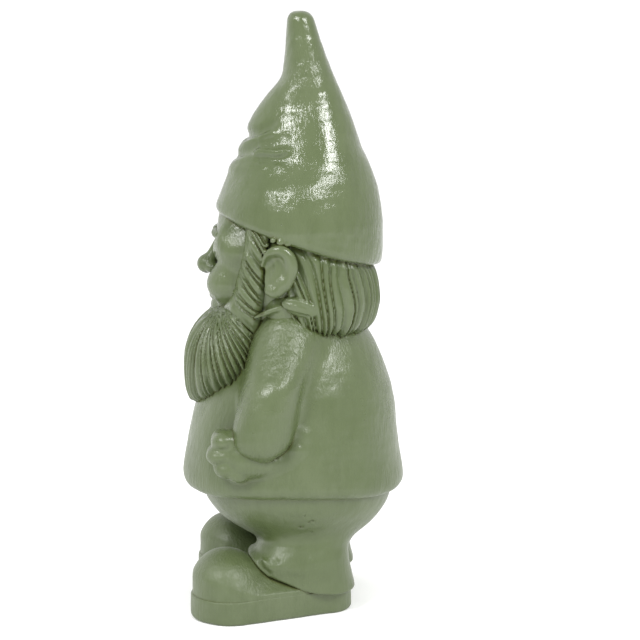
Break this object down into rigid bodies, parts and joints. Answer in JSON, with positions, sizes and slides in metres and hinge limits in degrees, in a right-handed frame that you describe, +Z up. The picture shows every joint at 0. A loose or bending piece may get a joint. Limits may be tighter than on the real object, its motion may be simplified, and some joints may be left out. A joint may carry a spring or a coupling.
{
  "type": "garden gnome",
  "caption": "Bearded garden gnome in a tall pointed hat, standing with its hands on its hips, painted one plain green all over.",
  "frame": {"origin": "on the ground, under the middle of the bounding box", "axes": "+Z up, the gnome faces -Y, its left side is +X"},
  "size_m": [0.1512, 0.1325, 0.35],
  "materials": {
    "painted_casting": "sage green brushed gloss paint on cast stone",
    "dowel_steel": "plain drawn bar"
  },
  "bodies": {
    "root": {"hat": "painted_casting", "head": "painted_casting", "nose": "painted_casting", "left_eyebrow": "painted_casting", "right_eyebrow": "painted_casting", "left_ear": "painted_casting", "right_ear": "painted_casting", "left_sideburn": "painted_casting", "right_sideburn": "painted_casting", "beard": "painted_casting", "back_hair": "painted_casting", "tunic": "painted_casting", "left_sleeve": "painted_casting", "right_sleeve": "painted_casting", "left_hand": "painted_casting", "right_hand": "painted_casting", "trouser_seat": "painted_casting", "left_trouser_leg": "painted_casting", "right_trouser_leg": "painted_casting", "left_shoe": "painted_casting", "right_shoe": "painted_casting", "left_sole": "painted_casting", "right_sole": "painted_casting", "hat_dowel": "dowel_steel", "neck_dowel": "dowel_steel", "waist_dowel": "dowel_steel", "left_leg_rod": "dowel_steel", "right_leg_rod": "dowel_steel", "left_shoulder_dowel": "dowel_steel", "right_shoulder_dowel": "dowel_steel"}
  },
  "joints": []
}
